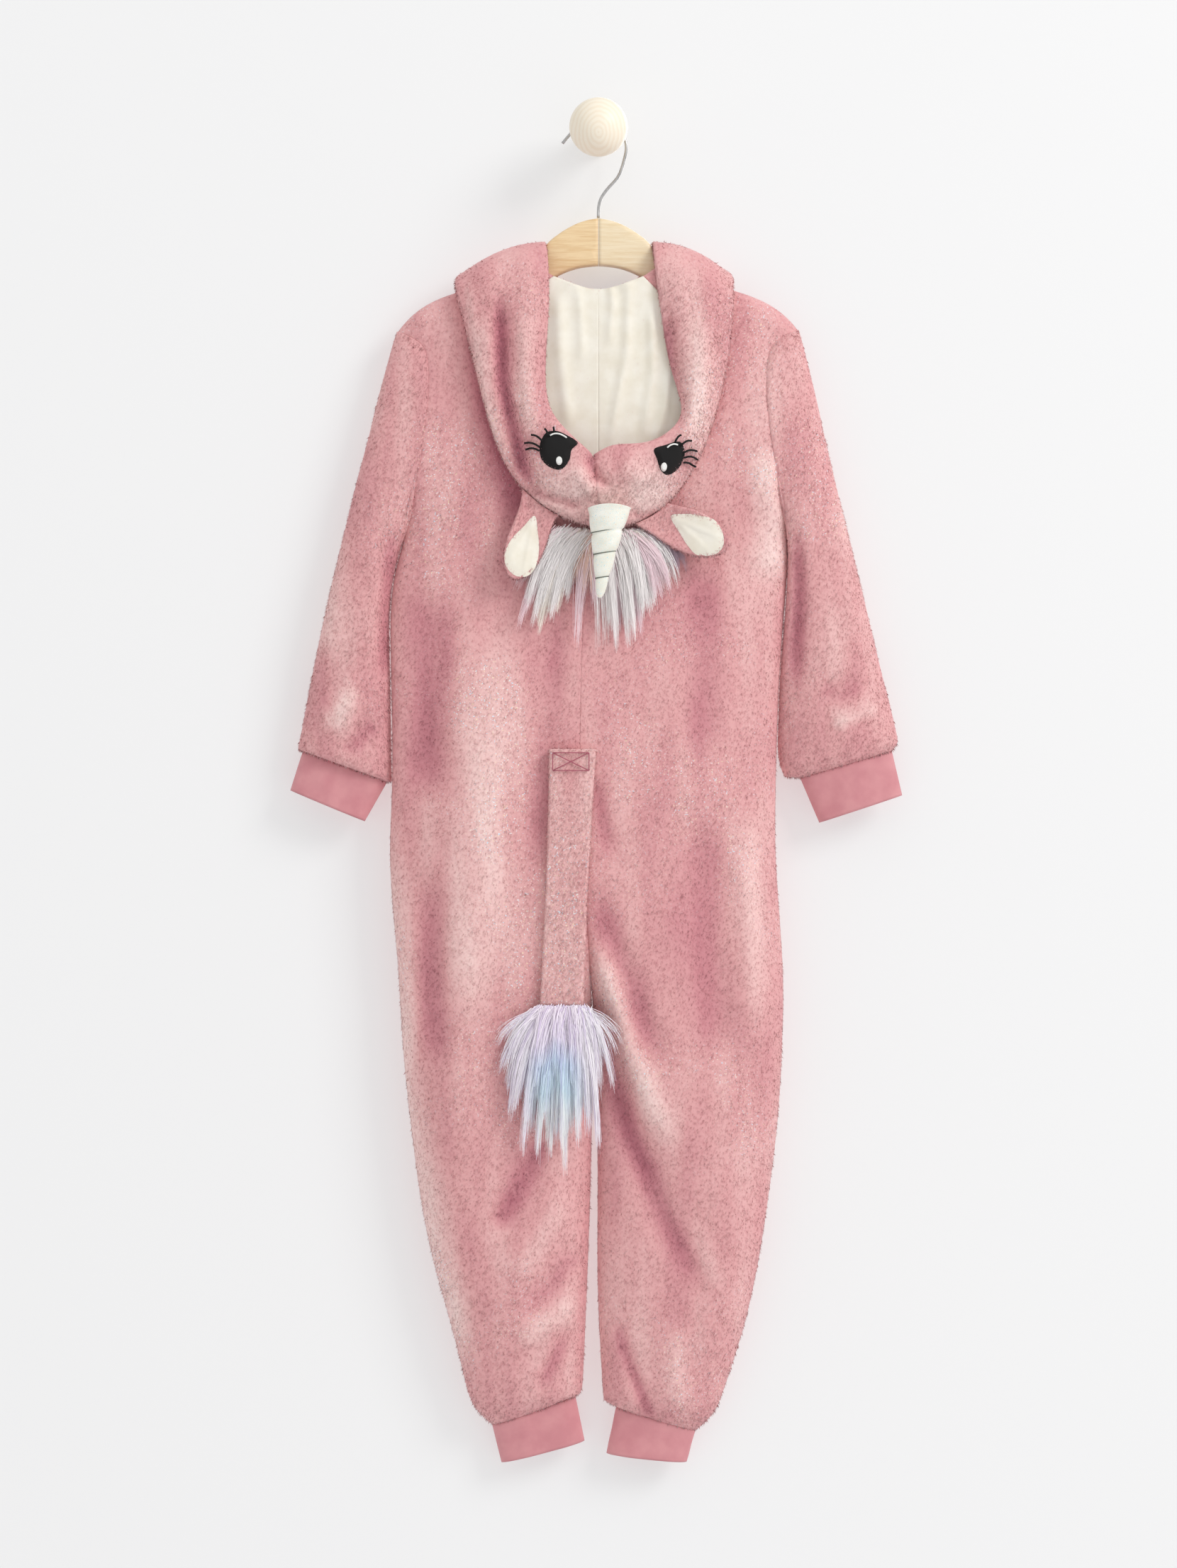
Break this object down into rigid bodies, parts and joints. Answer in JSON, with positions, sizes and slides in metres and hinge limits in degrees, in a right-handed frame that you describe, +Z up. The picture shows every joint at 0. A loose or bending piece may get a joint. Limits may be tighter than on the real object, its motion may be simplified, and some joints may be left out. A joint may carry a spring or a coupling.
{
  "type": "child's fleece jumpsuit on a hanger with a wall knob",
  "caption": "Hooded plush jumpsuit for a child, with unicorn ears, horn, mane and tail, hung from a wooden hanger on a round wall knob with its back to the viewer.",
  "frame": {"origin": "centre of the knob's flange at the wall, on the knob's axis", "axes": "+Z up along the garment, +Y from the garment into the wall, +X to the right as the garment's back is seen"},
  "size_m": [0.522, 0.0946, 1.1584],
  "materials": {
    "fleece": "long-nap plush fleece, dusty pink, with fine glitter",
    "cuff_jersey": "smooth stretch jersey, dusty pink",
    "lining_jersey": "soft cream jersey",
    "horn_cloth": "cream glitter cloth with stitched rings",
    "mane_fur": "long soft fur, white with pale pink",
    "tail_fur": "long soft fur, lavender to pale blue and white",
    "zip_tape": "woven tape, dusty pink",
    "zip_coil": "moulded coil, dusty pink",
    "zip_metal": "small plated casting",
    "wood_warm": "pale varnished wood, warm side",
    "wood_pale": "pale varnished wood",
    "knob_wood": "turned pale wood, satin",
    "wire": "nickel-plated wire"
  },
  "bodies": {
    "garment": {"back_left": "fleece", "back_right": "fleece", "front_left": "fleece", "front_right": "fleece", "sleeve_left": "fleece", "sleeve_right": "fleece", "wrist_cuff_left": "cuff_jersey", "wrist_cuff_right": "cuff_jersey", "ankle_cuff_left": "cuff_jersey", "ankle_cuff_right": "cuff_jersey", "hood_left": "fleece", "hood_right": "fleece", "hood_lining_left": "lining_jersey", "hood_lining_right": "lining_jersey", "ear_outer_left": "fleece", "ear_outer_right": "fleece", "ear_inner_left": "lining_jersey", "ear_inner_right": "lining_jersey", "horn": "horn_cloth", "mane": "mane_fur", "tail": "fleece", "tail_tuft": "tail_fur", "zip_teeth": "zip_coil", "zip_tape_left": "zip_tape", "zip_tape_right": "zip_tape", "zip_slider": "zip_metal", "hanger_arm_left": "wood_warm", "hanger_arm_right": "wood_pale", "hanger_hook": "wire", "knob": "knob_wood"},
    "pull": {"zip_pull": "zip_metal"}
  },
  "joints": [
    {"name": "pull_swing", "type": "hinge", "parent": "garment", "child": "pull", "pos_m": [-0.00106, -0.00474, -0.19115], "axis": [1, 0, 0], "range_deg": [0, 150]}
  ]
}
